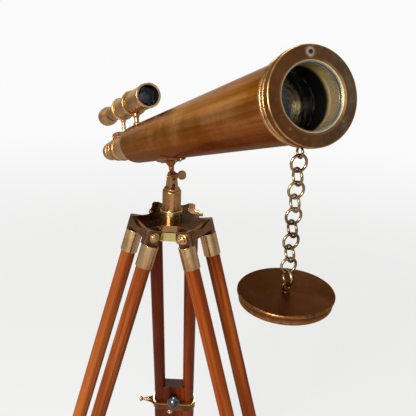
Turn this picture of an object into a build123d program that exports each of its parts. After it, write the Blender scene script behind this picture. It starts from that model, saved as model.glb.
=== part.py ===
from build123d import *
import math
import os

os.makedirs("parts", exist_ok=True)

# Stance of the tripod, in millimetres and degrees
leg_reach = 1200.0
leg_splay = 17.3
leg_bearings = {"rear": 156.7, "right": 276.7, "left": 36.7}
hinge_radius = 51.2
hinge_below_pin = 90.7

# Telescope layout, stations measured along the tube from the tilt pin
tube_raise = 20.2
tube_above_pin = 69.5
front_station = 477.4
tube_front = 462.0
tube_rear = -202.0
tube_front_radius = 46.2
tube_rear_radius = 38.0
tube_wall = 1.6
flange_radius = 52.5
mouth_radius = 36.4
finder_above_tube = 83.0

# Clearances between mating pieces
running = 0.05
loose = 0.3

# Tripod head and pillar
arm_half = 27.9
head_top = 14.0
head_base = -13.0
hub_base = -16.0
pillar_radius = 16.4
pillar_top = -24.0
ring_radius = 19.5
ring_top = -60.0
spigot_radius = 13.0
spigot_depth = 10.0
spindle_radius = 9.0
stud_radius = 6.0

# Tilt knuckle
blade_half = 2.5
slot_half = blade_half + loose
pin_radius = 3.0
knuckle_radius = 8.5

# Legs, distances measured down from the hinge
rod_spacing = 68.4
rod_radius = 13.0
cheek_thick = 12.0
cheek_half = 13.0
cheek_reach = 15.0
cheek_rise = 12.0
scoop_depth = 8.0
plate_gap = 12.3
plate_thick = 4.0
bolt_radius = 4.0
ferrule_radius = 15.0
ferrule_end = 56.0
ferrule_roof = 3.5
block_top = 595.0
block_end = 690.0
block_width = 98.0
block_depth = 36.0
tenon_radius = 8.0
tenon_length = 24.0
strap_height = 26.0
strap_thick = 2.5
slider_width = 54.0
slider_depth = 24.0
slider_top = 536.0
slider_end = leg_reach - 42.0
screw_level = 608.0
screw_radius = 4.0
ball_level = 570.0
ball_radius = 15.6
shoe_top = leg_reach - 94.0
shoe_end = leg_reach - 34.0
shoe_wall = 2.4
tip_radius = 9.0

# Focuser and eyepiece
draw_radius = 20.5
draw_front = -262.0
draw_rear = -412.0
draw_bore = 18.4
rack_half = 3.0
pinion_station = -347.0
tooth_pitch = math.pi
pinion_teeth = 12
pinion_pitch_radius = 6.0
tooth_rise = 0.8
tooth_drop = 1.2
tooth_share = 0.42
rack_line = draw_radius + 1.1
pinion_height = rack_line + pinion_pitch_radius
shaft_radius = 3.0
finder_bore = 14.1

# Chain and cap
eye_station = 441.0
eye_ring = 6.0
eye_wire = 1.4
link_ring = 9.4
link_wire = 1.6
link_count = 10
link_gap = 0.2
cap_bore = flange_radius + 0.4
cap_wall = 2.0
cap_edge = 57.2
cap_depth = 13.0
cap_ring = 5.0
cap_wire = 1.3

# Main directions and points
hinge_height = leg_reach * math.cos(math.radians(leg_splay))
pin_height = hinge_height + hinge_below_pin
raise_angle = math.radians(tube_raise)
along = Vector(math.cos(raise_angle), 0, math.sin(raise_angle))
above = Vector(-math.sin(raise_angle), 0, math.cos(raise_angle))
side = Vector(0, 1, 0)
pin_point = Vector(0, 0, pin_height)
tube_point = pin_point + above * tube_above_pin
finder_point = tube_point + above * finder_above_tube
tube_section = Plane(origin=tube_point, x_dir=along, z_dir=-side)
finder_section = Plane(origin=finder_point, x_dir=along, z_dir=-side)
pin_section = Plane(origin=pin_point, x_dir=along, z_dir=-side)
tube_axis = Axis(tube_point, along)
finder_axis = Axis(finder_point, along)
pillar_section = Plane(origin=pin_point, x_dir=(1, 0, 0), z_dir=(0, -1, 0))
pillar_axis = Axis(pin_point, (0, 0, 1))


def outline(plane, points):
    # A closed outline; a third number rounds that corner
    with BuildSketch(plane) as shape:
        with BuildLine():
            Polyline(*[p[:2] for p in points], close=True)
        make_face()
        for p in points:
            if len(p) == 3:
                fillet(shape.vertices().sort_by_distance((p[0], p[1]))[0], p[2])
    return shape.sketch


def disc(plane, radius, spots=((0, 0),)):
    with BuildSketch(plane) as shape:
        with Locations(*spots):
            Circle(radius)
    return shape.sketch


def save(piece, name):
    piece.part.label = name
    export_step(piece.part, f"parts/{name}.step")


def lens_outline(plane, back, edge, crown, radius):
    # Flat back, straight edge and a ball-shaped front
    rise = crown - edge
    ball = (radius ** 2 + rise ** 2) / (2 * rise)
    middle = crown - ball + math.sqrt(ball ** 2 - radius ** 2 / 4)
    with BuildSketch(plane) as shape:
        with BuildLine():
            Polyline((crown, 0), (back, 0), (back, radius), (edge, radius))
            ThreePointArc((edge, radius), (middle, radius / 2), (crown, 0))
        make_face()
    return shape.sketch


def tube_outer(station):
    slope = (tube_front_radius - tube_rear_radius) / (tube_front - tube_rear)
    return tube_rear_radius + slope * (station - tube_rear)


# Main tube, slightly conical, with a turned-in lip at the rear
lip_radius = 33.0
with BuildPart() as main_tube:
    revolve(outline(tube_section, [
        (tube_front, tube_front_radius), (tube_rear, tube_rear_radius, 5.0),
        (tube_rear, lip_radius), (tube_rear + tube_wall, lip_radius),
        (tube_rear + tube_wall, tube_rear_radius - tube_wall, 3.0),
        (tube_front, tube_front_radius - tube_wall)]), axis=tube_axis)
save(main_tube, "main_tube")

# Objective cell: beaded collar, broad front flange and inner barrel
barrel_radius = 38.6
lens_seat = 414.0
with BuildPart() as objective_cell:
    revolve(outline(tube_section, [
        (446.4, tube_front_radius + running), (446.4, 47.6), (450.5, 47.6),
        (450.5, 50.4, 1.6), (455.5, 50.4, 1.6), (455.5, 48.6), (458.0, 48.6),
        (458.0, 50.2, 1.2), (462.5, 50.2, 1.2), (462.5, 48.4), (468.5, 48.4),
        (468.5, flange_radius, 1.2), (front_station, flange_radius, 2.0),
        (front_station, mouth_radius + 3.0, 0.8), (front_station - 1.6, mouth_radius),
        (lens_seat, mouth_radius), (lens_seat, 34.2), (lens_seat - 4.0, 34.2),
        (lens_seat - 4.0, barrel_radius), (tube_front, barrel_radius),
        (tube_front, tube_front_radius + running)]), axis=tube_axis)
save(objective_cell, "objective_cell")

# Thin grey ring lining the mouth of the cell
with BuildPart() as mouth_ring:
    revolve(outline(tube_section, [
        (455.0, mouth_radius), (front_station - 2.6, mouth_radius),
        (front_station - 2.6, mouth_radius - 1.5, 0.4), (470.0, mouth_radius - 1.5),
        (470.0, mouth_radius - 1.9), (455.0, mouth_radius - 1.9)]), axis=tube_axis)
save(mouth_ring, "mouth_ring")

# Objective and finder lenses
with BuildPart() as lenses:
    revolve(lens_outline(tube_section, lens_seat, lens_seat + 5.5, lens_seat + 10.0, mouth_radius),
            axis=tube_axis)
    revolve(lens_outline(finder_section, -118.0, -115.0, -112.0, 18.2), axis=finder_axis)
save(lenses, "lenses")

# Focuser body: beaded collar, stepped sleeve and the pinion box on top
box_half = 13.0
rack_roof = rack_line + tooth_rise + 1.2
box_plane = Plane(origin=tube_point + along * pinion_station, x_dir=side, z_dir=along)
shaft_plane = Plane(origin=tube_point + along * pinion_station + above * pinion_height,
                    x_dir=along, z_dir=-side)
with BuildPart() as focuser_body:
    revolve(outline(tube_section, [
        (-186.0, lip_radius), (tube_rear, lip_radius), (tube_rear, 37.2, 1.8),
        (-208.5, 37.2, 1.8), (-208.5, 34.2), (-214.0, 34.2), (-214.0, 35.4, 1.0),
        (-219.0, 35.4, 1.0), (-219.0, 32.6), (-226.0, 31.5), (-262.0, 29.0),
        (-262.0, 27.2), (-316.0, 26.4), (-316.0, 28.2, 1.5), (-323.0, 28.2, 1.5),
        (-323.0, 25.2), (-362.0, 24.6), (-362.0, 26.0, 1.2), (-370.0, 26.0, 1.2),
        (-370.0, draw_radius + running), (-290.0, draw_radius + running),
        (-290.0, 22.6), (-252.0, 22.6), (-226.0, 27.0), (-186.0, 30.0)]), axis=tube_axis)
    with BuildSketch(box_plane.offset(-15.0)):
        with BuildLine():
            Polyline((-box_half, 21.5), (box_half, 21.5), (box_half, 34.0),
                     (8.0, 37.0), (-8.0, 37.0), (-box_half, 34.0), close=True)
        make_face()
    extrude(amount=30.0)
    extrude(disc(shaft_plane, shaft_radius + running), amount=box_half + 2.0, both=True,
            mode=Mode.SUBTRACT)
    extrude(disc(shaft_plane, pinion_pitch_radius + tooth_rise + 0.6),
            amount=rack_half + 0.6, both=True, mode=Mode.SUBTRACT)
    with BuildSketch(box_plane.offset(-25.0)):
        with Locations((0, (rack_roof + 15.0) / 2)):
            Rectangle(2 * rack_half + 0.6, rack_roof - 15.0)
    extrude(amount=120.0, mode=Mode.SUBTRACT)
    with BuildSketch(box_plane.offset(-16.0)):
        Circle(draw_radius + running)
    extrude(amount=32.0, mode=Mode.SUBTRACT)
save(focuser_body, "focuser_body")

# Draw tube with a toothed rack along its top
rack_front = -294.0
rack_rear = -394.0
rack_root = rack_line - tooth_drop
flank = math.tan(math.radians(20.0))
gap_half = tooth_pitch * (1 - tooth_share) / 2
with BuildPart() as draw_tube:
    revolve(outline(tube_section, [
        (draw_front, draw_radius), (draw_rear, draw_radius),
        (draw_rear, draw_bore), (draw_front, draw_bore)]), axis=tube_axis)
    with BuildSketch(tube_section):
        with Locations(((rack_front + rack_rear) / 2, (rack_line + tooth_rise + 19.2) / 2)):
            Rectangle(rack_front - rack_rear, rack_line + tooth_rise - 19.2)
        notches = [(pinion_station + tooth_pitch * (k + 0.5), 0) for k in range(-14, 16)]
        with Locations(*notches):
            Polygon((-gap_half + tooth_drop * flank, rack_root),
                    (gap_half - tooth_drop * flank, rack_root),
                    (gap_half + tooth_rise * flank, rack_line + tooth_rise),
                    (-gap_half - tooth_rise * flank, rack_line + tooth_rise),
                    align=None, mode=Mode.SUBTRACT)
    extrude(amount=rack_half, both=True)
save(draw_tube, "draw_tube")

# Pinion, shaft and fluted focus knob in one turned piece
base_radius = pinion_pitch_radius * math.cos(math.radians(20.0))
tip_circle = pinion_pitch_radius + tooth_rise


def involute_turn(radius):
    roll = math.sqrt((radius / base_radius) ** 2 - 1)
    return roll - math.atan(roll)


half_tooth = math.pi * tooth_share / pinion_teeth
knob_plane = Plane(origin=shaft_plane.origin, x_dir=side, z_dir=along)
with BuildPart() as focus_pinion:
    revolve(outline(knob_plane, [
        (-16.2, 0), (-16.2, 4.0, 1.5), (-box_half - loose, 4.0), (-box_half - loose, shaft_radius),
        (box_half + loose, shaft_radius), (box_half + loose, 4.6), (18.0, 4.6), (20.0, 8.0),
        (21.0, 11.5, 1.0), (31.0, 11.5, 1.0), (32.5, 8.0, 0.8), (32.5, 0)]),
        axis=Axis(shaft_plane.origin, side))
    with BuildSketch(shaft_plane):
        Circle(pinion_pitch_radius - tooth_drop)
        radii = [base_radius + (tip_circle - base_radius) * k / 4 for k in range(5)]
        for tooth in range(pinion_teeth):
            # A tooth points at a rack notch half a pitch from the centre line
            middle = -math.pi / 2 + (tooth + 0.5) * 2 * math.pi / pinion_teeth
            right = []
            left = []
            for r in radii:
                turn = half_tooth + involute_turn(pinion_pitch_radius) - involute_turn(r)
                right.append((r * math.cos(middle - turn), r * math.sin(middle - turn)))
                left.append((r * math.cos(middle + turn), r * math.sin(middle + turn)))
            foot = (4.0 * math.cos(middle - 0.25), 4.0 * math.sin(middle - 0.25))
            heel = (4.0 * math.cos(middle + 0.25), 4.0 * math.sin(middle + 0.25))
            Polygon(foot, *right, *reversed(left), heel, align=None)
    extrude(amount=rack_half - 0.1, both=True)
    with BuildSketch(Plane(origin=shaft_plane.origin + side * 21.5, x_dir=along, z_dir=side)):
        with PolarLocations(12.2, 24):
            Circle(1.1)
    extrude(amount=9.0, mode=Mode.SUBTRACT)
save(focus_pinion, "focus_pinion")

# Eyepiece with a dished eye opening, and its lens
with BuildPart() as eyepiece:
    revolve(outline(tube_section, [
        (-398.0, draw_bore), (draw_rear, draw_bore), (draw_rear, 22.5, 1.5), (-419.0, 22.5, 1.5),
        (-419.0, 20.2), (-424.0, 20.2), (-429.0, 21.4), (-432.0, 21.7), (-443.0, 21.2), (-449.0, 20.0),
        (-452.0, 18.0),
        (-452.0, 15.0, 0.8), (-444.0, 7.0), (-440.0, 6.0), (-434.0, 6.0), (-434.0, 14.0),
        (-398.0, 14.0)]), axis=tube_axis)
save(eyepiece, "eyepiece")

with BuildPart() as eye_lens:
    revolve(lens_outline(tube_section, -434.0, -430.0, -427.0, 14.0), axis=tube_axis)
save(eye_lens, "eye_lens")

# Finder: front tube, two beads, tapered tail, and the sliding bell eyepiece
with BuildPart() as finder_tube:
    revolve(outline(finder_section, [
        (-94.0, 23.9, 0.8), (-101.0, 23.9, 0.5), (-101.0, 23.0), (-195.0, 23.0),
        (-195.0, 26.8, 2.2), (-203.0, 26.8, 2.2), (-203.0, 23.4), (-289.0, 22.4),
        (-289.0, 25.4, 2.0), (-297.0, 25.4, 2.0), (-297.0, 23.4), (-308.0, 23.0),
        (-314.0, 22.2), (-336.0, 18.4), (-345.0, 17.3), (-372.0, 16.6), (-372.0, finder_bore), (-330.0, finder_bore),
        (-306.0, 18.2), (-94.0, 18.2, 0.8)]), axis=finder_axis)
save(finder_tube, "finder_tube")

with BuildPart() as finder_eyepiece:
    with BuildSketch(finder_section):
        with BuildLine():
            Polyline((-386.0, finder_bore - running), (-336.0, finder_bore - running),
                     (-336.0, 11.0), (-452.0, 11.0), (-452.0, 5.0), (-458.0, 5.0),
                     (-464.0, 11.0), (-464.0, 14.5))
            Spline((-464.0, 14.5), (-459.0, 19.4), (-444.0, 21.9), (-424.0, 21.0),
                   (-404.0, 17.0), (-390.0, 16.4))
            Polyline((-390.0, 16.4), (-386.0, 16.4), (-386.0, finder_bore - running))
        make_face()
    revolve(axis=finder_axis)
save(finder_eyepiece, "finder_eyepiece")

# Two turned posts carry the finder
front_post = -193.0
rear_post = -301.0


def post_section(station):
    return Plane(origin=tube_point + along * station, x_dir=above, z_dir=side)


with BuildPart() as finder_posts:
    revolve(outline(post_section(front_post), [
        (37.0, 0), (37.0, 7.5), (40.6, 7.5, 1.0), (43.5, 4.8), (52.0, 4.8), (56.0, 7.0),
        (62.0, 7.0), (62.0, 0)]), axis=Axis(tube_point + along * front_post, above))
    revolve(outline(post_section(rear_post), [
        (24.2, 0), (24.2, 6.0), (29.5, 6.0, 1.0), (32.0, 3.8), (53.0, 3.8), (57.0, 5.6),
        (63.0, 5.6), (63.0, 0)]), axis=Axis(tube_point + along * rear_post, above))
    add(main_tube.part, mode=Mode.SUBTRACT)
    add(finder_tube.part, mode=Mode.SUBTRACT)
    add(focuser_body.part, mode=Mode.SUBTRACT)
save(finder_posts, "finder_posts")

# Boat-shaped saddle under the tube, its neck and the blade in the knuckle
saddle_half = 62.0
saddle_thick = 3.4
with BuildPart() as cradle_saddle:
    revolve(outline(tube_section, [
        (-saddle_half, tube_outer(-saddle_half) + running),
        (saddle_half, tube_outer(saddle_half) + running),
        (saddle_half, tube_outer(saddle_half) + saddle_thick),
        (-saddle_half, tube_outer(-saddle_half) + saddle_thick)]), axis=tube_axis)
    with BuildSketch(Plane(origin=tube_point - above * 60.0, x_dir=along, z_dir=above)):
        with BuildLine():
            ThreePointArc((-saddle_half, 0), (0, 22.0), (saddle_half, 0))
            ThreePointArc((saddle_half, 0), (0, -22.0), (-saddle_half, 0))
        make_face()
        fillet(vertices().sort_by(Axis.X)[0], 4.0)
        fillet(vertices().sort_by(Axis.X)[-1], 4.0)
    extrude(amount=40.0, mode=Mode.INTERSECT)
    revolve(outline(Plane(origin=pin_point, x_dir=above, z_dir=side), [
        (10.0, 0), (10.0, 4.4), (17.0, 4.4, 6.0), (27.0, 12.0), (27.0, 0)]),
        axis=Axis(pin_point, above))
    with BuildSketch(pin_section):
        Circle(7.5)
        with Locations((0, 6.5)):
            Rectangle(9.0, 13.0)
    extrude(amount=blade_half, both=True)
    extrude(disc(pin_section, pin_radius + running), amount=blade_half + 1.0, both=True,
            mode=Mode.SUBTRACT)
save(cradle_saddle, "cradle_saddle")

# Small round-headed screws on the saddle and the front flange
with BuildPart() as small_screws:
    for station in (-48.0, -30.0, 30.0, 48.0):
        seat = tube_outer(station) + saddle_thick
        revolve(outline(post_section(station), [
            (-seat + 2.0, 0), (-seat + 2.0, 3.2), (-seat - 0.8, 3.2), (-seat - 1.9, 2.0, 0.8),
            (-seat - 2.1, 0)]), axis=Axis(tube_point + along * station, above))
    add(cradle_saddle.part, mode=Mode.SUBTRACT)
    with BuildSketch(Plane(origin=tube_point + along * front_station, x_dir=side, z_dir=along)):
        with PolarLocations(44.5, 1, start_angle=90.0):
            Circle(2.4)
    extrude(amount=1.2)
save(small_screws, "small_screws")

# Fork post turning in the pillar, slotted for the blade
head_bottom = -hinge_below_pin + hub_base
nut_top = head_bottom - loose
nut_height = 8.0
across_section = Plane(origin=pin_point, x_dir=side, z_dir=(1, 0, 0))
with BuildPart() as fork_post:
    with BuildSketch(across_section):
        with BuildLine():
            Polyline((-8.7, -20.0), (8.7, -20.0), (6.0, 2.0), (5.0, knuckle_radius),
                     (-5.0, knuckle_radius), (-6.0, 2.0), close=True)
        make_face()
    extrude(amount=knuckle_radius, both=True)
    with BuildSketch(pillar_section):
        Circle(knuckle_radius)
        with Locations((0, -10.0)):
            Rectangle(2 * knuckle_radius, 20.0)
    extrude(amount=12.0, both=True, mode=Mode.INTERSECT)
    revolve(outline(pillar_section, [
        (0, -18.5), (9.5, -18.5, 1.0), (13.6, -21.0, 1.0), (13.6, pillar_top + loose),
        (spindle_radius, pillar_top + loose), (spindle_radius, head_bottom - 0.1),
        (stud_radius, head_bottom - 0.1), (stud_radius, nut_top - nut_height - 3.0, 1.0),
        (0, nut_top - nut_height - 3.0)]), axis=pillar_axis)
    with BuildSketch(across_section):
        Rectangle(2 * slot_half, 36.0)
    extrude(amount=20.0, both=True, mode=Mode.SUBTRACT)
    extrude(disc(pillar_section, pin_radius + running), amount=14.0, both=True,
            mode=Mode.SUBTRACT)
save(fork_post, "fork_post")

# Nut under the head keeps the fork post in
with BuildPart() as spindle_nut:
    with BuildSketch(Plane(origin=pin_point + Vector(0, 0, nut_top), z_dir=(0, 0, -1))):
        RegularPolygon(12.5, 6)
        Circle(stud_radius, mode=Mode.SUBTRACT)
    extrude(amount=nut_height)
    fillet(edges().filter_by(GeomType.LINE).group_by(Axis.Z)[0], 1.0)
save(spindle_nut, "spindle_nut")

# Paddle thumbscrew that is the tilt pin
with BuildPart() as tilt_thumbscrew:
    revolve(outline(Plane(origin=pin_point, x_dir=side, z_dir=(1, 0, 0)), [
        (-9.6, 0), (-9.6, pin_radius, 1.0), (7.4, pin_radius), (7.4, 5.2, 0.6), (9.6, 5.2, 0.6),
        (9.6, 3.4), (13.0, 3.4), (13.0, 0)]), axis=Axis(pin_point, side))
    with BuildSketch(across_section):
        with BuildLine():
            Polyline((10.5, -3.0), (14.0, -7.5), (25.0, -8.6), (25.0, 8.6), (14.0, 7.5),
                     (10.5, 3.0), close=True)
        make_face()
        fillet(vertices().group_by(Axis.X)[-1], 6.0)
    extrude(amount=2.2, both=True)
    fillet(faces().filter_by(Axis.X).sort_by(Axis.X)[-1].edges().sort_by(Axis.Y)[-1], 0.8)
save(tilt_thumbscrew, "tilt_thumbscrew")

# Pillar with its broad ring, let into the head
with BuildPart() as pillar:
    revolve(outline(pillar_section, [
        (spindle_radius + running, pillar_top), (pillar_radius, pillar_top, 3.5),
        (pillar_radius, ring_top), (ring_radius, ring_top, 1.5),
        (ring_radius, head_top - hinge_below_pin), (spigot_radius, head_top - hinge_below_pin),
        (spigot_radius, head_top - hinge_below_pin - spigot_depth),
        (spindle_radius + running, head_top - hinge_below_pin - spigot_depth)]),
        axis=pillar_axis)
save(pillar, "pillar")

# Tripod head: six-sided hub with three arms
hinge_centre = Vector(0, 0, hinge_height)
rear_bearing = leg_bearings["rear"]
with BuildPart() as tripod_head:
    for bearing in leg_bearings.values():
        turn = math.radians(bearing)
        outward = Vector(math.cos(turn), math.sin(turn), 0)
        sideways = Vector(-math.sin(turn), math.cos(turn), 0)
        arm_plane = Plane(origin=hinge_centre, x_dir=outward, z_dir=-sideways)
        extrude(outline(arm_plane, [
            (0, head_top), (hinge_radius + 7.4, head_top, 1.5), (hinge_radius + 11.7, 2.0),
            (hinge_radius + 11.7, -7.5), (hinge_radius + 6.0, head_base), (0, head_base)]),
            amount=arm_half, both=True)
    with BuildSketch(Plane(origin=hinge_centre + Vector(0, 0, hub_base))):
        RegularPolygon(38.4, 6, major_radius=False, rotation=rear_bearing + 30.0)
    extrude(amount=-hub_base)
    with BuildSketch(Plane(origin=hinge_centre + Vector(0, 0, 2.5))):
        RegularPolygon(40.0, 6, major_radius=False, rotation=rear_bearing + 30.0)
    extrude(amount=head_top - 2.5)
    extrude(disc(Plane(origin=hinge_centre + Vector(0, 0, head_top)), spigot_radius),
            amount=-spigot_depth, mode=Mode.SUBTRACT)
    extrude(disc(Plane(origin=hinge_centre), spindle_radius + running), amount=40.0, both=True,
            mode=Mode.SUBTRACT)
    for bearing in leg_bearings.values():
        turn = math.radians(bearing)
        outward = Vector(math.cos(turn), math.sin(turn), 0)
        sideways = Vector(-math.sin(turn), math.cos(turn), 0)
        bore_plane = Plane(origin=hinge_centre + outward * hinge_radius, x_dir=outward,
                           z_dir=-sideways)
        extrude(disc(bore_plane, bolt_radius + running), amount=arm_half + 2.0, both=True,
                mode=Mode.SUBTRACT)
save(tripod_head, "tripod_head")

# The three legs, each in its own leaning frame
cheek_outer = rod_spacing / 2 + cheek_thick / 2
cheek_inner = rod_spacing / 2 - cheek_thick / 2
half_space = rod_spacing / 2
scoop_radius = (cheek_inner ** 2 + scoop_depth ** 2) / (2 * scoop_depth)
spots = ((-half_space, 0), (half_space, 0))
bolt_frames = []
splay = math.radians(leg_splay)
for name, bearing in leg_bearings.items():
    turn = math.radians(bearing)
    sideways = Vector(-math.sin(turn), math.cos(turn), 0)
    outward = Vector(math.cos(turn), math.sin(turn), 0)
    upward = Vector(0, 0, 1) * math.cos(splay) - outward * math.sin(splay)
    inward = upward.cross(sideways)
    hinge = hinge_centre + outward * hinge_radius
    frame = Plane(origin=hinge, x_dir=sideways, z_dir=upward)
    bolt_frames.append(Plane(origin=hinge, x_dir=sideways, z_dir=-inward))

    # Bent yoke: two cheeks joined by a plate on the outer side
    with BuildPart() as leg_yoke:
        extrude(outline(frame.offset(-cheek_reach), [
            (-cheek_outer, cheek_half, 3.0), (-cheek_inner, cheek_half, 3.0),
            (-cheek_inner, -plate_gap), (cheek_inner, -plate_gap),
            (cheek_inner, cheek_half, 3.0), (cheek_outer, cheek_half, 3.0),
            (cheek_outer, -plate_gap - plate_thick, 6.0),
            (-cheek_outer, -plate_gap - plate_thick, 6.0)]), amount=cheek_reach + cheek_rise)
        with BuildSketch(frame.offset(-cheek_reach - 1.0)):
            with Locations((0, -plate_gap)):
                Rectangle(2 * cheek_inner, 20.0)
        extrude(amount=10.0, mode=Mode.SUBTRACT)
        extrude(disc(Plane(origin=hinge + upward * (cheek_rise - scoop_depth + scoop_radius),
                           x_dir=sideways, z_dir=-inward), scoop_radius),
                amount=plate_gap + plate_thick + 2.0, mode=Mode.SUBTRACT)
        extrude(disc(Plane(origin=hinge, x_dir=inward, z_dir=sideways), bolt_radius + running),
                amount=60.0, both=True, mode=Mode.SUBTRACT)
    save(leg_yoke, f"{name}_leg_yoke")

    # Ferrules: brass cups over the rod tops
    with BuildPart() as leg_ferrules:
        for x in (-half_space, half_space):
            revolve(outline(Plane(origin=hinge + sideways * x, x_dir=sideways, z_dir=-inward), [
                (0, -cheek_reach), (ferrule_radius, -cheek_reach, 0.8),
                (ferrule_radius, -ferrule_end, 0.8), (rod_radius, -ferrule_end),
                (rod_radius, -cheek_reach - ferrule_roof), (0, -cheek_reach - ferrule_roof)]),
                axis=Axis(hinge + sideways * x, upward))
    save(leg_ferrules, f"{name}_leg_ferrules")

    # Round wooden rods with tenons, one drilled for the clamp screw
    with BuildPart() as leg_rods:
        rod_top = cheek_reach + ferrule_roof
        extrude(disc(frame.offset(-rod_top), rod_radius, spots), amount=rod_top - block_top)
        extrude(disc(frame.offset(-block_top), tenon_radius, spots), amount=-tenon_length)
        with BuildSketch(Plane(origin=hinge - upward * screw_level, x_dir=inward,
                               z_dir=sideways)):
            Circle(screw_radius + loose)
        extrude(amount=60.0, mode=Mode.SUBTRACT)
    save(leg_rods, f"{name}_leg_rods")

    # Wooden block joining the rods, slotted for the lower leg
    with BuildPart() as leg_block:
        with BuildSketch(frame.offset(-block_top)):
            RectangleRounded(block_width, block_depth, 15.0)
        extrude(amount=block_top - block_end)
        with BuildSketch(frame.offset(-block_top)):
            Rectangle(slider_width + 2 * loose, slider_depth + 2 * loose)
            with Locations(*spots):
                Circle(rod_radius, mode=Mode.SUBTRACT)
        extrude(amount=block_top - block_end, mode=Mode.SUBTRACT)
        extrude(disc(frame.offset(-block_top), tenon_radius, spots), amount=-tenon_length,
                mode=Mode.SUBTRACT)
        with BuildSketch(Plane(origin=hinge - upward * screw_level, x_dir=inward,
                               z_dir=sideways)):
            Circle(screw_radius + loose)
        extrude(amount=60.0, mode=Mode.SUBTRACT)
    save(leg_block, f"{name}_leg_block")

    # Brass strap round the block, with the boss for the clamp screw
    screw_point = hinge - upward * screw_level
    screw_section = Plane(origin=screw_point, x_dir=sideways, z_dir=-inward)
    screw_axis = Axis(screw_point, sideways)
    strap_face = block_width / 2 + strap_thick
    with BuildPart() as leg_strap:
        with BuildSketch(frame.offset(-block_top)):
            RectangleRounded(block_width + 2 * strap_thick, block_depth + 2 * strap_thick,
                             15.0 + strap_thick)
            RectangleRounded(block_width, block_depth, 15.0, mode=Mode.SUBTRACT)
        extrude(amount=-strap_height)
        revolve(outline(screw_section, [
            (block_width / 2 + 1.0, 0), (block_width / 2 + 1.0, 5.0), (strap_face, 12.0),
            (strap_face + 3.0, 9.2), (strap_face + 6.0, 7.4),
            (strap_face + 11.0, 6.2), (strap_face + 11.0, 0)]),
            axis=screw_axis)
        with BuildSketch(Plane(origin=screw_point, x_dir=inward, z_dir=sideways)):
            Circle(screw_radius + running)
        extrude(amount=90.0, mode=Mode.SUBTRACT)
    save(leg_strap, f"{name}_leg_strap")

    # Turned clamp screw
    with BuildPart() as clamp_screw:
        tip = half_space - rod_radius + loose
        boss_end = strap_face + 11.0 + loose
        revolve(outline(screw_section, [
            (tip, 0), (tip, 2.4), (tip + 1.6, screw_radius), (boss_end, screw_radius),
            (boss_end, 5.8, 0.6), (boss_end + 2.2, 5.8, 0.6), (boss_end + 14.5, 2.6), (boss_end + 17.0, 5.2),
            (boss_end + 18.2, 6.4), (boss_end + 21.5, 6.4, 1.2), (boss_end + 23.0, 2.5),
            (boss_end + 23.0, 0)]), axis=screw_axis)
    save(clamp_screw, f"{name}_clamp_screw")

    # Sliding lower leg, its sides hollowed to run along the rods
    with BuildPart() as lower_leg:
        with BuildSketch(frame.offset(-slider_top)):
            RectangleRounded(slider_width, slider_depth, 1.5)
            with Locations(*spots):
                Circle(rod_radius + loose, mode=Mode.SUBTRACT)
        extrude(amount=slider_top - slider_end)
        with BuildSketch(Plane(origin=hinge - upward * ball_level, x_dir=sideways,
                               z_dir=inward)):
            Circle(screw_radius)
        extrude(amount=slider_depth, mode=Mode.SUBTRACT)
    save(lower_leg, f"{name}_lower_leg")

    # Ball knob screwed into the inner face
    with BuildPart() as ball_knob:
        ball_point = hinge - upward * ball_level
        face = slider_depth / 2
        centre = face + ball_radius + 1.6
        with BuildSketch(Plane(origin=ball_point, x_dir=inward, z_dir=sideways)):
            with BuildLine():
                Polyline((centre + ball_radius, 0), (0.4, 0), (0.4, screw_radius),
                         (face, screw_radius), (face, 7.5), (face + 2.4, 7.5),
                         (centre - math.sqrt(ball_radius ** 2 - 25.0), 5.0))
                ThreePointArc((centre - math.sqrt(ball_radius ** 2 - 25.0), 5.0),
                              (centre, ball_radius), (centre + ball_radius, 0))
            make_face()
        revolve(axis=Axis(ball_point, inward))
    save(ball_knob, f"{name}_ball_knob")

    # Brass shoe with a blunt tip cut level with the floor
    with BuildPart() as foot:
        with BuildSketch(frame.offset(-shoe_top)):
            RectangleRounded(slider_width + 2 * shoe_wall, slider_depth + 2 * shoe_wall, 3.5)
        extrude(amount=shoe_top - shoe_end)
        with BuildSketch(frame.offset(-shoe_top)):
            RectangleRounded(slider_width, slider_depth, 1.5)
        extrude(amount=shoe_top - slider_end, mode=Mode.SUBTRACT)
        revolve(outline(Plane(origin=hinge, x_dir=sideways, z_dir=-inward), [
            (0, -shoe_end), (14.0, -shoe_end), (12.5, -shoe_end - 5.0, 2.0),
            (tip_radius, -shoe_end - 9.0, 2.0), (tip_radius, -leg_reach - 6.0),
            (0, -leg_reach - 6.0)]), axis=Axis(hinge, upward))
        split(bisect_by=Plane.XY, keep=Keep.TOP)
    save(foot, f"{name}_foot")

# Hinge bolts with domed heads, and their nuts
with BuildPart() as hinge_fasteners:
    for bolt_frame in bolt_frames:
        bolt_axis = Axis(bolt_frame.origin, bolt_frame.x_dir)
        shank_end = -cheek_outer - 15.0
        revolve(outline(bolt_frame, [
            (shank_end, 0), (shank_end, bolt_radius, 1.0), (cheek_outer + 0.2, bolt_radius),
            (cheek_outer + 0.2, 8.6), (cheek_outer + 1.6, 8.6), (cheek_outer + 1.6, 6.4),
            (cheek_outer + 4.4, 5.4, 1.5), (cheek_outer + 5.6, 0)]), axis=bolt_axis)
        revolve(outline(bolt_frame, [
            (-cheek_outer - 0.2, bolt_radius + running), (-cheek_outer - 0.2, 9.2),
            (-cheek_outer - 1.8, 9.2), (-cheek_outer - 1.8, 7.4), (-cheek_outer - 8.0, 7.0, 1.0),
            (-cheek_outer - 8.0, bolt_radius + running)]), axis=bolt_axis)
save(hinge_fasteners, "hinge_fasteners")

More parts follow.
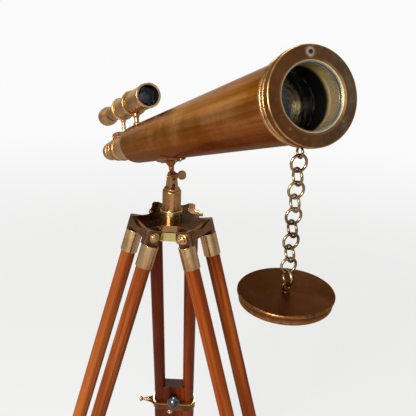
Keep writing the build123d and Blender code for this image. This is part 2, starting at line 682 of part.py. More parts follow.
# Eye under the tube for the chain
eye_radius = tube_outer(eye_station)
eye_drop = eye_radius + eye_ring + eye_wire + 1.0
eye_centre = tube_point + along * eye_station - above * eye_drop
with BuildPart() as chain_eye:
    revolve(outline(post_section(eye_station), [
        (-eye_radius + 0.8, 0), (-eye_radius + 0.8, 4.4), (-eye_radius - 1.6, 4.4, 0.8),
        (-eye_radius - 2.2, 0)]), axis=Axis(tube_point + along * eye_station, above))
    revolve(disc(Plane(origin=eye_centre), eye_wire, ((eye_ring, 0),)), axis=Axis(eye_centre, side))
    add(main_tube.part, mode=Mode.SUBTRACT)
save(chain_eye, "chain_eye")

# Chain of round links, each standing across the one above
link_pitch = 2 * link_ring - 2 * link_wire - link_gap
first_drop = eye_ring - eye_wire - link_wire - link_gap + link_ring
for index in range(link_count):
    centre = eye_centre - Vector(0, 0, first_drop + index * link_pitch)
    with BuildPart() as chain_link:
        if index % 2:
            wire = disc(Plane(origin=centre), link_wire, ((link_ring, 0),))
            revolve(wire, axis=Axis(centre, (0, 1, 0)))
        else:
            wire = disc(Plane(origin=centre), link_wire, ((0, link_ring),))
            revolve(wire, axis=Axis(centre, (1, 0, 0)))
    save(chain_link, f"chain_link_{index + 1:02d}")

# Cap that slips over the front flange, hung by an eye in its middle
last_centre = eye_centre - Vector(0, 0, first_drop + (link_count - 1) * link_pitch)
cap_eye_drop = link_ring - link_wire - cap_wire - link_gap + cap_ring
cap_eye = last_centre - Vector(0, 0, cap_eye_drop)
cap_top = cap_eye - Vector(0, 0, cap_ring + cap_wire - 0.4)
cap_section = Plane(origin=cap_top, x_dir=(1, 0, 0), z_dir=(0, -1, 0))
cap_axis = Axis(cap_top, (0, 0, 1))
with BuildPart() as lens_cap:
    revolve(outline(cap_section, [
        (0, 0), (cap_edge, 0, 1.6), (cap_edge, -4.0, 1.6),
        (cap_bore + cap_wall, -4.0), (cap_bore + cap_wall, -cap_depth, 0.8),
        (cap_bore, -cap_depth), (cap_bore, -2.6), (0, -2.6)]), axis=cap_axis)
    revolve(outline(cap_section, [(0, -1.0), (5.0, -1.0), (5.0, 0.4, 0.6), (2.5, 1.4), (0, 1.4)]),
            axis=cap_axis)
    revolve(disc(Plane(origin=cap_eye), cap_wire, ((0, cap_ring),)), axis=Axis(cap_eye, (1, 0, 0)))
save(lens_cap, "lens_cap")
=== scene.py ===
import math
import bpy
import bmesh
from mathutils import Matrix, Vector


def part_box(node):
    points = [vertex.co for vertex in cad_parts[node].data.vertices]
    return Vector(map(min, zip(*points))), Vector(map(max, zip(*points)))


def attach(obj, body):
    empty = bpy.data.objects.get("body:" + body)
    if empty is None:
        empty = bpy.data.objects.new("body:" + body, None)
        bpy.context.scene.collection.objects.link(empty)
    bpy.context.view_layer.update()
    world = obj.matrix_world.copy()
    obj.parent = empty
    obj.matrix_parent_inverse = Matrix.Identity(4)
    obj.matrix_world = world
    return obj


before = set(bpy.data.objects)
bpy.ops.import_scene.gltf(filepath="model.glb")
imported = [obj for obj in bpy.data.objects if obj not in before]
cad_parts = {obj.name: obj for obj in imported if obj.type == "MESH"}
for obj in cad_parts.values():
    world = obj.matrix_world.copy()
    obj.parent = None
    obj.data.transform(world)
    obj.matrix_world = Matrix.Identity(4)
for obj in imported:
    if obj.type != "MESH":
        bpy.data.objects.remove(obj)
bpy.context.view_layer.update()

print("frame loaded:", len(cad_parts), "nodes")

# main points of the stand and the telescope, metres and degrees
stance = {"legReach": 1.2, "legSplay": 17.3, "hingeRadius": 0.0512, "pinAboveHinge": 0.0907,
          "tubeRaise": 20.2, "tubeAbovePin": 0.0695, "finderAboveTube": 0.083,
          "bearings": {"rear": 156.7, "right": 276.7, "left": 36.7}}
raiseAngle = math.radians(stance["tubeRaise"])
splayAngle = math.radians(stance["legSplay"])
above = Vector((-math.sin(raiseAngle), 0, math.cos(raiseAngle)))
hingeHeight = stance["legReach"] * math.cos(splayAngle)
hubPoint = Vector((0, 0, hingeHeight))
pinPoint = Vector((0, 0, hingeHeight + stance["pinAboveHinge"]))
tubePoint = pinPoint + above * stance["tubeAbovePin"]
finderPoint = tubePoint + above * stance["finderAboveTube"]
tubeTurn = (0, -raiseAngle, 0)
upright = (0, 0, 0)


def legTurn(name):
    turn = math.radians(stance["bearings"][name])
    outward = Vector((math.cos(turn), math.sin(turn), 0))
    sideways = Vector((-math.sin(turn), math.cos(turn), 0))
    upward = Vector((0, 0, math.cos(splayAngle))) - outward * math.sin(splayAngle)
    lean = Matrix((sideways, upward.cross(sideways), upward)).transposed()
    return hubPoint + outward * stance["hingeRadius"], lean.to_euler()


def paint(red, green, blue):
    # screen colour to the colour Blender works in
    return tuple((c / 255 / 12.92) if c < 10.3 else ((c / 255 + 0.055) / 1.055) ** 2.4
                 for c in (red, green, blue)) + (1.0,)


class Wire:
    # one socket, with sums written as plain Python
    def __init__(self, finish, socket):
        self.finish = finish
        self.socket = socket

    def calc(self, operation, first, second):
        return self.finish.make("ShaderNodeMath", {"operation": operation}, {0: first, 1: second})

    def __add__(self, other):
        return self.calc("ADD", self, other)

    def __sub__(self, other):
        return self.calc("SUBTRACT", self, other)

    def __rsub__(self, other):
        return self.calc("SUBTRACT", other, self)

    def __mul__(self, other):
        return self.calc("MULTIPLY", self, other)

    def __pow__(self, other):
        return self.calc("POWER", self, other)

    def __abs__(self):
        return self.finish.make("ShaderNodeMath", {"operation": "ABSOLUTE"}, {0: self})

    __radd__ = __add__
    __rmul__ = __mul__


def distance(first, second):
    return (first * first + second * second) ** 0.5


class Finish:
    # the nodes of one material, or of the world
    def __init__(self, holder):
        self.holder = holder
        holder.use_nodes = True
        self.tree = holder.node_tree
        self.tree.nodes.clear()

    def make(self, kind, settings=None, values=None, out=0):
        node = self.tree.nodes.new(kind)
        for key, value in (settings or {}).items():
            if key == "stops":
                ramp = node.color_ramp
                while len(ramp.elements) < len(value):
                    ramp.elements.new(0.5)
                for element, (spot, tone) in zip(ramp.elements, value):
                    element.position = spot
                    element.color = tone
            else:
                setattr(node, key, value)
        for key, value in (values or {}).items():
            if isinstance(value, Wire):
                self.tree.links.new(value.socket, node.inputs[key])
            else:
                node.inputs[key].default_value = value
        return Wire(self, node.outputs[out] if node.outputs else None)

    def laid(self, origin, turn):
        # object coordinates, moved and turned so that they run with the piece
        spot = self.make("ShaderNodeTexCoord", out=3)
        return self.make("ShaderNodeMapping", {"vector_type": "TEXTURE"},
                         {"Vector": spot, "Location": origin, "Rotation": tuple(turn)})

    def stretch(self, vector, scale):
        return self.make("ShaderNodeMapping", None, {"Vector": vector, "Scale": scale})

    def split(self, vector):
        node = self.make("ShaderNodeSeparateXYZ", None, {0: vector})
        outs = node.socket.node.outputs
        return [Wire(self, outs[k]) for k in range(3)]

    def rays(self):
        # camera, glossy and transmission rays
        outs = self.make("ShaderNodeLightPath").socket.node.outputs
        return [Wire(self, outs[k]) for k in ("Is Camera Ray", "Is Glossy Ray", "Is Transmission Ray")]

    def noise(self, vector, scale, detail=3.0, rough=0.55, warp=0.0):
        return self.make("ShaderNodeTexNoise", None, {
            "Vector": vector, "Scale": scale, "Detail": detail, "Roughness": rough,
            "Distortion": warp})

    def span(self, value, low, high):
        # 0 at low, 1 at high, eased at both ends
        return self.make("ShaderNodeMapRange", {"interpolation_type": "SMOOTHSTEP"},
                         {0: value, 1: low, 2: high})

    def ramp(self, value, stops):
        return self.make("ShaderNodeValToRGB", {"stops": stops}, {0: value})

    def mix(self, share, first, second):
        return self.make("ShaderNodeMix", {"data_type": "RGBA"}, {0: share, 6: first, 7: second},
                         out=2)

    def bump(self, height, strength, depth):
        return self.make("ShaderNodeBump", None, {"Height": height, "Strength": strength,
                                                  "Distance": depth})

    def rubbedEdgeAndGlint(self, radius=0.0011):
        # 1 along sharp edges: metal rubbed bright there, and a painted highlight where edges catch the
        #                      light
        rounded = self.make("ShaderNodeBevel", {"samples": 6}, {"Radius": radius})
        plain = self.make("ShaderNodeNewGeometry", out=1)
        likeness = self.make("ShaderNodeVectorMath", {"operation": "DOT_PRODUCT"},
                             {0: rounded, 1: plain}, out=1)
        return self.span(likeness, 0.985, 0.86)

    def close(self, values):
        shader = self.make("ShaderNodeBsdfPrincipled", None, values)
        self.make("ShaderNodeOutputMaterial", None, {0: shader})
        return self.holder


def dress(material, *nodes):
    for name in nodes:
        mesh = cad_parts[name].data
        mesh.materials.clear()
        mesh.materials.append(material)


# brass of the telescope: old lacquer that runs in streaks along the tube, the streaks also a painted
# lengthwise sheen
taper = {"rearRadius": 0.038, "frontRadius": 0.0462, "length": 0.664, "rearStation": -0.202,
         "margin": 0.0008}
slope = (taper["frontRadius"] - taper["rearRadius"]) / taper["length"]
tubeInside = taper["rearRadius"] - slope * taper["rearStation"] - taper["margin"]
# inside: radius at the origin, slope, and the station where the black starts
# beads: station and half width of each rubbed ridge
# the colour, share and levels here that paint shade towards the underside
tubeLook = {"deep": paint(100, 50, 24), "warm": paint(154, 90, 48), "pale": paint(210, 152, 100),
            "under": paint(92, 34, 12), "underShare": 0.85, "underLevels": (0.008, -0.036),
            "spot": paint(52, 24, 9), "black": (0.010, 0.009, 0.008, 1.0), "rough": (0.17, 0.30),
            "streakAndSheen": (2.2, 90.0, 90.0), "streakAndSheenShare": 0.55, "scratch": (900.0, 60.0, 60.0),
            "grazing": (0.74, 0.56, 0.39, 1.0), "inside": (tubeInside, slope, -0.2), "beads": ()}


def tubeBrass(name, look, origin):
    f = Finish(bpy.data.materials.new(name))
    spot = f.laid(origin, tubeTurn)
    x, y, z = f.split(spot)
    cloud = f.noise(spot, 9.0, 5.0, 0.6, 0.4)
    streakAndSheen = f.noise(f.stretch(spot, look["streakAndSheen"]), 1.0, 5.0, 0.65)
    fleck = f.noise(spot, 300.0, 3.0, 0.6)
    scratch = f.noise(f.stretch(spot, look["scratch"]), 1.0, 2.0)
    # lengthwise streaks in the tone: lacquer, and painted sheen along the tube
    tone = f.ramp(cloud * (1.1 - look["streakAndSheenShare"]) + streakAndSheen * look["streakAndSheenShare"],
                  [(0.38, look["deep"]), (0.55, look["warm"]), (0.74, look["pale"])])
    # painted shade: redder, darker and duller towards the underside
    shadedBelow = f.span(z, *look["underLevels"])
    tone = f.mix(shadedBelow * look["underShare"], tone, look["under"])
    dirt = f.span(fleck + cloud * 0.4, 0.88, 1.0)
    tone = f.mix(dirt * 0.6, tone, look["spot"])
    for station, half in look["beads"]:
        # polished where hands rub the beads
        rubAndHighlight = f.span(abs(x - station), half, half * 0.4) * f.span(streakAndSheen, 0.3, 0.6)
        tone = f.mix(rubAndHighlight * 0.6, tone, look["pale"])
    low, high = look["rough"]
    rough = low + (high - low) * f.span(cloud + scratch * 0.3, 0.4, 0.9) + dirt * 0.25
    metal = 1.0 - dirt * 0.5 - shadedBelow * look["underShare"] * 0.6
    if look["inside"]:
        # blackened inside, by the distance from the axis
        radius, flare, start = look["inside"]
        reach = distance(y, z) - x * flare
        dark = f.span(reach, radius + 0.0004, radius - 0.0004) * f.span(x, start - 0.002, start)
        tone = f.mix(dark, tone, look["black"])
        rough = rough + dark * 0.6
        metal = metal * (1.0 - dark)
    height = streakAndSheen * 0.4 + fleck * 0.1 + scratch * 0.25
    return f.close({"Base Color": tone, "Metallic": metal, "Roughness": rough,
                    "Specular Tint": look["grazing"], "Specular IOR Level": 0.0,
                    "Normal": f.bump(height, 0.06, 0.0005)})


dress(tubeBrass("tubeBrass", tubeLook, tubePoint), "main_tube")
# the focuser and finder keep a lighter painted shade underneath
focusLook = dict(tubeLook, deep=paint(146, 104, 66), warm=paint(194, 150, 102),
                 pale=paint(230, 196, 150), under=paint(92, 46, 18), underShare=0.4,
                 streakAndSheenShare=0.2, grazing=(0.84, 0.70, 0.54, 1.0), inside=(0.0306, 0.0, -0.224),
                 beads=((-0.205, 0.005), (-0.2165, 0.004), (-0.3195, 0.005), (-0.366, 0.005)))
dress(tubeBrass("focuserBrass", focusLook, tubePoint),
      "focuser_body", "draw_tube", "focus_pinion", "eyepiece")
finderLook = dict(focusLook, inside=(0.0203, 0.0, -0.29),
                  beads=((-0.097, 0.005), (-0.199, 0.006), (-0.293, 0.006)))
dress(tubeBrass("finderBrass", finderLook, finderPoint), "finder_tube")
finderEyeLook = dict(focusLook, inside=None, beads=())
dress(tubeBrass("finderEyeBrass", finderEyeLook, finderPoint), "finder_eyepiece", "finder_posts")
# the saddle keeps a little painted shade underneath
saddleLook = dict(tubeLook, deep=paint(104, 58, 32), warm=paint(140, 86, 52),
                  pale=paint(186, 134, 88), underShare=0.3, inside=None)
dress(tubeBrass("saddleBrass", saddleLook, tubePoint), "cradle_saddle")
print("telescope dressed")

# dark brown patina of the front cell and the cap, bright on the edges from wear and painted highlight
# ridges: station, radius and width of each pale ridge band: wear, and on the two collar beads a
# painted highlight
# wall: radius of the inner wall, and where its bare brass starts and is full, after black painted
# shade deeper inside
# scuff: station, place across and place up of the dull patch round the flange screw
cellLook = {"deep": paint(112, 70, 42), "warm": paint(138, 90, 54), "pale": paint(200, 156, 106),
            "green": paint(138, 128, 102), "greenShare": 0.6, "edgeWearAndGlint": 0.5,
            "rough": (0.24, 0.36), "grazing": (0.76, 0.60, 0.44, 1.0),
            "wornAndLitRidges": ((0.453, 0.0504, 0.0055), (0.4602, 0.0502, 0.0055),
                       (0.4685, 0.0525, 0.0016), (0.4774, 0.0525, 0.0016)),
            "shadedWall": (0.0366, 0.444, 0.456), "bare": paint(246, 214, 152),
            "black": (0.006, 0.006, 0.006, 1.0),
            "scuff": (0.4774, 0.0, 0.0445), "dull": paint(186, 176, 164)}


def patina(name, look, origin, turn):
    f = Finish(bpy.data.materials.new(name))
    spot = f.laid(origin, turn)
    x, y, z = f.split(spot)
    reach = distance(y, z)
    cloud = f.noise(spot, 22.0, 6.0, 0.62, 0.6)
    fine = f.noise(spot, 160.0, 4.0, 0.6)
    ring = f.noise(f.stretch(spot, (700.0, 25.0, 25.0)), 1.0, 3.0)
    tone = f.ramp(cloud * 0.8 + fine * 0.2, [(0.34, look["deep"]), (0.68, look["warm"])])
    patchy = fine + cloud * 0.5
    # pale ridge bands: worn, and a painted highlight on the collar beads
    for station, radius, width in look["wornAndLitRidges"]:
        ridgeWearAndHighlight = f.span(distance(x - station, reach - radius), width, width * 0.25)
        tone = f.mix(ridgeWearAndHighlight * f.span(patchy, 0.45, 0.85) * 0.8, tone, look["pale"])
    # pale on the edges: wear, and painted highlight
    edgeWearAndGlintMask = f.rubbedEdgeAndGlint() * f.span(patchy, 0.5, 0.85)
    tone = f.mix(edgeWearAndGlintMask * look["edgeWearAndGlint"], tone, look["pale"])
    if look["greenShare"]:
        # greenish bloom on one side
        bloom = f.span(y + cloud * 0.05, 0.005, 0.07) * f.span(fine, 0.1, 0.7)
        tone = f.mix(bloom * look["greenShare"], tone, look["green"])
    low, high = look["rough"]
    rough = low + (high - low) * f.span(cloud + fine * 0.4, 0.5, 0.95)
    metal = 1.0 - f.span(fine + cloud * 0.3, 0.75, 0.95) * 0.4
    if look["scuff"]:
        # dull grey round the screw in the flange
        station, across, up = look["scuff"]
        away = distance(y - across, z - up) + fine * 0.003
        dull = f.span(away, 0.0085, 0.0045) * f.span(x, station - 0.002, station - 0.001)
        tone = f.mix(dull * 0.75, tone, look["dull"])
        metal = metal - dull * 0.4
    if look["shadedWall"]:
        # painted shade: black deep inside round the lens, bare brass towards the mouth
        radius, start, full = look["shadedWall"]
        shadedWall = f.span(reach, radius + 0.0006, radius - 0.0002)
        bare = f.span(x + cloud * 0.004, start, full)
        tone = f.mix(shadedWall, tone, f.mix(bare, look["black"], look["bare"]))
        rough = rough + shadedWall * 0.04
        metal = metal * (1.0 - shadedWall) + shadedWall * 0.66
    return f.close({"Base Color": tone, "Metallic": metal, "Roughness": rough,
                    "Specular Tint": look["grazing"],
                    "Normal": f.bump(fine * 0.4 + ring * 0.5, 0.05, 0.0005)})


dress(patina("cellPatina", cellLook, tubePoint, tubeTurn), "objective_cell")
capLook = dict(cellLook, deep=paint(90, 52, 34), warm=paint(106, 64, 42), pale=paint(160, 106, 60),
               rough=(0.26, 0.36), greenShare=0.0, shadedWall=None, scuff=None,
               wornAndLitRidges=((-0.002, 0.0572, 0.0035), (-0.012, 0.0549, 0.006)), depth=0.013)
capLow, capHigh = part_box("lens_cap")
capTop = Vector(((capLow.x + capHigh.x) / 2, (capLow.y + capHigh.y) / 2, capLow.z + capLook["depth"]))
dress(patina("capPatina", capLook, capTop, (0, -math.pi / 2, 0)), "lens_cap")
ringLook = {"deep": paint(136, 134, 124), "warm": paint(180, 178, 168), "bare": cellLook["bare"],
            "rough": (0.22, 0.34), "lip": (0.4682, 0.4702)}


def mouthRing(name, look):
    f = Finish(bpy.data.materials.new(name))
    spot = f.laid(tubePoint, tubeTurn)
    station = f.split(spot)[0]
    cloud = f.noise(spot, 40.0, 4.0, 0.6)
    fine = f.noise(f.stretch(spot, (900.0, 60.0, 60.0)), 1.0, 3.0)
    # grey lip in front, bare brass behind it
    lip = f.span(station + cloud * 0.001, *look["lip"])
    tone = f.mix(lip, look["bare"], f.mix(cloud, look["deep"], look["warm"]))
    low, high = look["rough"]
    return f.close({"Base Color": tone, "Metallic": 0.9 - cloud * 0.1,
                    "Roughness": low + (high - low) * cloud, "Normal": f.bump(fine, 0.04, 0.0004)})


dress(mouthRing("mouthRing", ringLook), "mouth_ring")
print("cell and cap dressed")

# satin brass of the stand, a little tarnished
standLook = {"deep": paint(168, 126, 86), "warm": paint(200, 160, 116), "pale": paint(226, 194, 152),
             "ramp": (0.34, 0.52, 0.72), "spot": paint(82, 56, 38), "rough": (0.18, 0.28),
             "grain": (30.0, 30.0, 900.0), "lathe": 0.12, "dirt": 0.12, "edgeWearAndGlint": 0.6,
             "grazing": (0.84, 0.72, 0.58, 1.0), "panels": None, "highlightBand": None,
             "highlightBandTone": paint(226, 198, 152)}


def standBrass(name, look, origin, turn):
    f = Finish(bpy.data.materials.new(name))
    spot = f.laid(origin, turn)
    x, y, z = f.split(spot)
    cloud = f.noise(spot, 24.0, 5.0, 0.6, 0.3)
    lathe = f.noise(f.stretch(spot, look["grain"]), 1.0, 3.0)
    fine = f.noise(spot, 380.0, 3.0, 0.6)
    tone = f.ramp(cloud * (1.0 - look["lathe"]) + lathe * look["lathe"],
                  list(zip(look["ramp"], (look["deep"], look["warm"], look["pale"]))))
    if look["panels"]:
        # bare brass on the hub's sides, a lighter pinkish band round the sides of its top plate
        panels = look["panels"]
        reach = distance(x, y)
        patchy = cloud + fine * 0.2
        hub = f.span(z, *panels["hubBelow"]) * f.span(reach, *panels["hubWithin"])
        edge = f.span(z, *panels["edgeFrom"]) * f.span(z, *panels["edgeTo"]) \
            * f.span(reach, *panels["edgeOutside"])
        tone = f.mix(hub * f.span(patchy, 0.35, 0.6), tone, panels["hubTone"])
        tone = f.mix(edge * f.span(patchy, 0.3, 0.65), tone, panels["edgeTone"])
    # pale on the edges: wear, and painted highlight
    edgeWearAndGlintMask = f.rubbedEdgeAndGlint() * f.span(cloud + fine * 0.3, 0.4, 0.65)
    tone = f.mix(edgeWearAndGlintMask * look["edgeWearAndGlint"], tone, look["pale"])
    if look["highlightBand"]:
        # painted highlight: a pale band between two levels
        bottom, top = look["highlightBand"]
        rubAndHighlight = f.span(z, bottom - 0.0005, bottom + 0.0005) * f.span(z, top + 0.0005, top - 0.0005)
        tone = f.mix(rubAndHighlight * f.span(cloud, 0.2, 0.5) * 0.8, tone, look["highlightBandTone"])
    dirt = f.span(fine + cloud * 0.35, 0.78, 0.90)
    tone = f.mix(dirt * look["dirt"], tone, look["spot"])
    low, high = look["rough"]
    rough = low + (high - low) * f.span(cloud + fine * 0.3, 0.45, 0.9) + dirt * 0.1
    return f.close({"Base Color": tone, "Metallic": 1.0 - dirt * 0.3, "Roughness": rough,
                    "Specular Tint": look["grazing"],
                    "Normal": f.bump(lathe * 0.6 + fine * 0.3, 0.02, 0.0003)})


# the pillar's pale band is a painted highlight ring near its foot
pillarLook = dict(standLook, deep=paint(150, 104, 66), warm=paint(182, 134, 88),
                  pale=paint(212, 172, 124), highlightBand=(-0.0767, -0.0605))
dress(standBrass("pillarBrass", pillarLook, pinPoint, upright), "pillar", "fork_post",
      "spindle_nut", "tilt_thumbscrew")
headLook = dict(standLook, deep=paint(46, 32, 24), warm=paint(84, 60, 46), pale=paint(196, 158, 116),
                rough=(0.14, 0.26), edgeWearAndGlint=0.8, ramp=(0.30, 0.62, 1.0), spot=paint(30, 20, 14),
                grain=(60.0, 60.0, 60.0),
                panels={"hubBelow": (0.0028, 0.0018), "hubWithin": (0.047, 0.046),
                        "hubTone": paint(188, 174, 108), "edgeFrom": (0.0022, 0.0032),
                        "edgeTo": (0.0142, 0.0136), "edgeOutside": (0.0392, 0.0398),
                        "edgeTone": paint(150, 110, 76)})
dress(standBrass("headBrass", headLook, hubPoint, upright), "tripod_head")
boltLook = dict(standLook, deep=paint(132, 98, 62), warm=paint(194, 156, 108),
                pale=paint(232, 204, 160), grain=(80.0, 80.0, 80.0))
dress(standBrass("boltBrass", boltLook, hubPoint, upright), "hinge_fasteners")
screwLook = dict(standLook, deep=paint(52, 40, 30), warm=paint(88, 70, 54), pale=paint(140, 116, 92),
                 grain=(80.0, 80.0, 80.0))
dress(standBrass("screwBrass", screwLook, tubePoint, tubeTurn), "small_screws")
chainLook = dict(standLook, deep=paint(100, 76, 52), warm=paint(150, 124, 90),
                 pale=paint(206, 184, 148), grain=(300.0, 300.0, 300.0), links=10)
dress(standBrass("chainBrass", chainLook, tubePoint, upright), "chain_eye",
      *["chain_link_%02d" % (k + 1) for k in range(chainLook["links"])])
print("head and chain dressed")

# varnished wood of the legs, grain running down each leg
# endTop: level and half width of the dark top face of the lower leg: end grain, and painted shade
woodLook = {"dark": paint(64, 22, 7), "red": paint(116, 52, 20), "gold": paint(168, 94, 41),
            "pore": paint(46, 15, 5), "endTop": (-0.536, 0.0267)}
# painted shade: a much darker copy of the wood for the rear leg, a little darker one for the left leg
rearShadeWood = dict(woodLook, dark=paint(42, 11, 2), red=paint(88, 29, 6), gold=paint(132, 56, 16),
                pore=paint(26, 9, 4))
leftShadeWood = dict(woodLook, dark=paint(56, 18, 4), red=paint(110, 44, 12), gold=paint(160, 82, 30))


def legWood(name, look, origin, turn):
    f = Finish(bpy.data.materials.new(name))
    spot = f.laid(origin, turn)
    x, y, z = f.split(spot)
    wander = f.noise(f.stretch(spot, (14.0, 14.0, 1.6)), 1.0, 3.0, 0.5, 0.6)
    grain = f.noise(f.stretch(spot, (150.0, 150.0, 3.2)), 1.0, 5.0, 0.62, 0.3)
    pore = f.noise(f.stretch(spot, (700.0, 700.0, 14.0)), 1.0, 2.0, 0.5)
    tone = f.ramp(wander * 0.65 + grain * 0.45,
                  [(0.38, look["dark"]), (0.54, look["red"]), (0.72, look["gold"])])
    dots = f.span(pore, 0.6, 0.72)
    tone = f.mix(dots * 0.5, tone, look["pore"])
    # end grain on top of the lower leg, painted near-black as shade
    level, half = look["endTop"]
    endGrainAndShade = f.span(z, level - 0.0008, level - 0.0002) * f.span(z, level + 0.0010, level + 0.0002) \
        * f.span(abs(x), half + 0.0005, half - 0.0005)
    tone = f.mix(endGrainAndShade * 0.85, tone, look["pore"])
    worn = f.noise(spot, 18.0, 4.0, 0.6)
    return f.close({"Base Color": tone, "Roughness": 0.34 + f.span(worn, 0.4, 0.75) * 0.2,
                    "Coat Weight": 0.06 - f.span(worn, 0.5, 0.8) * 0.05, "Coat Roughness": 0.16,
                    "Specular IOR Level": 0.04,
                    "Normal": f.bump(grain * 0.4 - dots * 0.5, 0.10, 0.0006)})


# darkened steel of the ball knobs
ballLook = {"dark": paint(56, 54, 60), "pale": paint(122, 118, 128), "rust": paint(70, 42, 26)}


def ballSteel(name, look, origin):
    f = Finish(bpy.data.materials.new(name))
    spot = f.laid(origin, upright)
    cloud = f.noise(spot, 60.0, 4.0, 0.6)
    fine = f.noise(spot, 500.0, 3.0)
    tone = f.ramp(cloud, [(0.3, look["dark"]), (0.7, look["pale"])])
    rust = f.span(fine + cloud * 0.5, 0.86, 0.96)
    tone = f.mix(rust * 0.6, tone, look["rust"])
    return f.close({"Base Color": tone, "Metallic": 1.0 - rust * 0.5,
                    "Roughness": 0.20 + f.span(cloud, 0.4, 0.8) * 0.12 + rust * 0.3,
                    "Normal": f.bump(fine, 0.04, 0.0004)})


# the strap's pale band is a painted highlight line along its top edge
strapLook = dict(standLook, deep=paint(88, 50, 28), warm=paint(122, 76, 46), pale=paint(166, 118, 76),
                 grain=(80.0, 80.0, 80.0), highlightBand=(-0.5975, -0.594))
yokeLook = dict(headLook, deep=paint(78, 54, 38), warm=paint(122, 88, 64), rough=(0.22, 0.34),
                grain=(80.0, 80.0, 80.0), panels=None)
for name in stance["bearings"]:
    hinge, lean = legTurn(name)
    # the rear and left legs take the darker copies as painted shade
    timber = {"rear": rearShadeWood, "right": woodLook, "left": leftShadeWood}[name]
    dress(legWood(name + "LegWood", timber, hinge, lean),
          name + "_leg_rods", name + "_leg_block", name + "_lower_leg")
    dress(standBrass(name + "FerruleBrass", standLook, hinge, lean),
          name + "_leg_ferrules", name + "_clamp_screw", name + "_foot")
    dress(standBrass(name + "StrapBrass", strapLook, hinge, lean), name + "_leg_strap")
    dress(standBrass(name + "YokeBrass", yokeLook, hinge, lean), name + "_leg_yoke")
    dress(ballSteel(name + "BallSteel", ballLook, hinge), name + "_ball_knob")
print("legs dressed")

# round brass button below each strap, (radius, height) from crown to base
buttonLook = {"aside": 0.010, "level": -0.632, "face": 0.018, "steps": 40,
              "profile": ((0.0, 0.0052), (0.0018, 0.0050), (0.0034, 0.0042), (0.0045, 0.0028),
                          (0.0049, 0.0012), (0.0050, 0.0010), (0.0064, 0.0009), (0.0069, 0.0005),
                          (0.0070, -0.0005), (0.0, -0.0005))}


def turnedPiece(name, profile, steps, place):
    mesh = bmesh.new()
    corners = [mesh.verts.new((radius, 0, height)) for radius, height in profile]
    lines = [mesh.edges.new(pair) for pair in zip(corners, corners[1:])]
    bmesh.ops.spin(mesh, geom=corners + lines, cent=(0, 0, 0), axis=(0, 0, 1), dvec=(0, 0, 0),
                   angle=2 * math.pi, steps=steps, use_merge=True)
    bmesh.ops.remove_doubles(mesh, verts=mesh.verts[:], dist=0.000001)
    bmesh.ops.recalc_face_normals(mesh, faces=mesh.faces[:])
    bmesh.ops.transform(mesh, matrix=place, verts=mesh.verts[:])
    data = bpy.data.meshes.new(name)
    mesh.to_mesh(data)
    mesh.free()
    data.shade_smooth()
    piece = bpy.data.objects.new(name, data)
    bpy.context.scene.collection.objects.link(piece)
    return piece


for name in stance["bearings"]:
    hinge, lean = legTurn(name)
    place = Matrix.Translation(hinge) @ lean.to_matrix().to_4x4() \
        @ Matrix.Translation((buttonLook["aside"], buttonLook["face"], buttonLook["level"])) \
        @ Matrix.Rotation(-math.pi / 2, 4, "X")
    button = turnedPiece(name + "_block_button", buttonLook["profile"], buttonLook["steps"], place)
    button.data.materials.append(bpy.data.materials[name + "FerruleBrass"])
    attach(button, name + "_leg")
print("buttons made")

# clear glass, smoky so that the tube looks dark inside
glassLook = {"tint": (0.36, 0.42, 0.48, 1.0), "bend": 1.52, "gloss": 0.10}


def lensGlass(name, look):
    f = Finish(bpy.data.materials.new(name))
    haze = f.noise(f.laid(tubePoint, tubeTurn), 60.0, 4.0)
    return f.close({"Base Color": look["tint"], "Roughness": 0.02 + f.span(haze, 0.5, 0.9) * 0.06,
                    "IOR": look["bend"], "Transmission Weight": 1.0,
                    "Specular IOR Level": look["gloss"]})


dress(lensGlass("lensGlass", glassLook), "lenses", "eye_lens")
print("finishes done:", len(bpy.data.materials))

# floor: glow near the stand and what is added far off, as the camera sees it
# mirrored: what metal sees of the floor, of a card on it and of its far end
white = (1.0, 1.0, 1.0, 1.0)
floorLook = {"size": 80.0, "plain": (0.50, 0.485, 0.46, 1.0), "dust": (0.47, 0.455, 0.43, 1.0),
             "seen": (0.62, 0.62, 0.62, 1.0), "glow": (0.60, 0.34), "glowReach": (1.0, 5.0),
             "mirrored": (0.083, 0.75, 0.695), "farReach": (4.0, 16.0),
             "cardTurn": -19.0, "cardSpread": 1.6, "cardReach": (0.0, 1.6)}
floorMesh = bmesh.new()
bmesh.ops.create_grid(floorMesh, x_segments=2, y_segments=2, size=floorLook["size"])
floorData = bpy.data.meshes.new("floor")
floorMesh.to_mesh(floorData)
floorMesh.free()
floor = bpy.data.objects.new("floor", floorData)
bpy.context.scene.collection.objects.link(floor)
f = Finish(bpy.data.materials.new("floorPaint"))
floorSpot = f.make("ShaderNodeTexCoord", out=3)
cameraRay, glossyRay, throughRay = f.rays()
floorTone = f.mix(f.noise(floorSpot, 3.0, 4.0), floorLook["plain"], floorLook["dust"])
paleFloor = f.make("ShaderNodeBsdfPrincipled", None, {
    "Base Color": f.mix(cameraRay, floorTone, floorLook["seen"]), "Roughness": 0.8})
# metal mirrors a pale card on the floor in front of the stand more than the rest of the floor
turned = f.make("ShaderNodeMapping", {"vector_type": "TEXTURE"}, {
    "Vector": floorSpot, "Rotation": (0, 0, math.radians(floorLook["cardTurn"]))})
forward, aside = f.split(turned)[:2]
card = f.span(forward - abs(aside) * floorLook["cardSpread"], *floorLook["cardReach"])
away = distance(forward, aside)
base, cardLevel, farLevel = floorLook["mirrored"]
mirrored = base + card * cardLevel + f.span(away, *floorLook["farReach"]) * farLevel * (1.0 - card)
# white far off, a little darker near the stand, where its shadow lies
nearGlow, farGlow = floorLook["glow"]
direct = (nearGlow + f.span(away, *floorLook["glowReach"]) * farGlow) * (cameraRay + throughRay)
glow = f.make("ShaderNodeEmission", None, {"Color": white, "Strength": 1.0})
f.make("ShaderNodeOutputMaterial", None, {0: f.make("ShaderNodeMixShader", None, {
    0: direct + glossyRay * mirrored, 1: paleFloor, 2: glow})})
floorData.materials.append(f.holder)

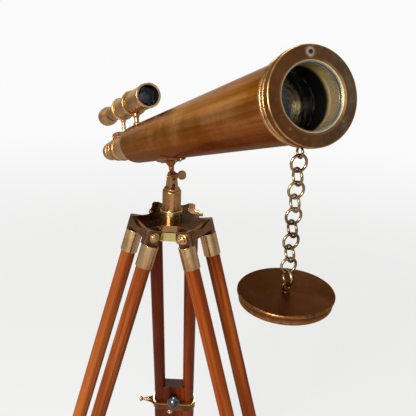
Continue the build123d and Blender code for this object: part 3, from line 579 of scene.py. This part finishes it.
# pale room, brighter overhead, in front and towards the key light
roomLook = {"tone": (0.96, 0.94, 0.91, 1.0), "backdrop": 0.94, "dim": 0.05, "overhead": 0.45,
            "keySide": 0.14, "front": 0.75, "horizon": 0.8}
world = bpy.data.worlds.new("studio")
bpy.context.scene.world = world
f = Finish(world)
wayX, wayY, wayZ = f.split(f.make("ShaderNodeTexCoord", out=0))
glow = roomLook["dim"] + roomLook["overhead"] * f.span(wayZ, 0.05, 0.7) \
    + roomLook["keySide"] * f.span(wayX * 0.3 - wayY * 0.95, 0.15, 0.9) \
    + roomLook["front"] * f.span(wayX * 0.88 - wayY * 0.36 + wayZ * 0.31, 0.76, 0.98) \
    + roomLook["horizon"] * f.span(wayZ, 0.3, 0.05) * f.span(wayX, -0.3, -0.9)
cameraRay, glossyRay, throughRay = f.rays()
seen = cameraRay + throughRay + glossyRay * floorLook["mirrored"][0]
glow = glow * (1.0 - seen) + seen * roomLook["backdrop"]
f.make("ShaderNodeOutputWorld", None, {0: f.make("ShaderNodeBackground", None, {
    "Color": f.mix(seen, roomLook["tone"], white), "Strength": glow})})

# soft lamps: place, size in metres and power in watts
lampAim = Vector((0, 0, 1.2))
lamps = {"key": ((1.9, -2.2, 2.5), 1.1, 130.0), "top": ((-0.6, 0.2, 3.4), 1.0, 34.0),
         "side": ((0.8, 2.8, 1.9), 1.2, 3.0)}
for name, (place, size, power) in lamps.items():
    lamp = bpy.data.lights.new(name, "AREA")
    lamp.size = size
    lamp.energy = power
    holder = bpy.data.objects.new(name, lamp)
    holder.location = place
    holder.rotation_euler = (lampAim - Vector(place)).to_track_quat("-Z", "Y").to_euler()
    bpy.context.scene.collection.objects.link(holder)

# camera, placed from the tilt pin
view = {"offset": (0.95558, -0.3351, 0.35813), "yaw": 157.04, "pitch": 22.31, "roll": 2.53,
        "lens": 53.65, "sensor": 36.0, "nearest": 0.01}
yaw, pitch, roll = (math.radians(view[k]) for k in ("yaw", "pitch", "roll"))
look = Vector((math.cos(pitch) * math.cos(yaw), math.cos(pitch) * math.sin(yaw), -math.sin(pitch)))
right = look.cross(Vector((0, 0, 1))).normalized()
upward = right.cross(look)
lensRight = right * math.cos(roll) + upward * math.sin(roll)
lensUp = upward * math.cos(roll) - right * math.sin(roll)
camera = bpy.data.cameras.new("camera")
camera.lens = view["lens"]
camera.sensor_width = view["sensor"]
camera.clip_start = view["nearest"]
eye = bpy.data.objects.new("camera", camera)
eye.matrix_world = Matrix.Translation(pinPoint + Vector(view["offset"])) @ Matrix(
    (lensRight, lensUp, -look)).transposed().to_4x4()
bpy.context.scene.collection.objects.link(eye)
bpy.context.scene.camera = eye
bpy.context.scene.view_settings.view_transform = "Standard"
print("stage set")
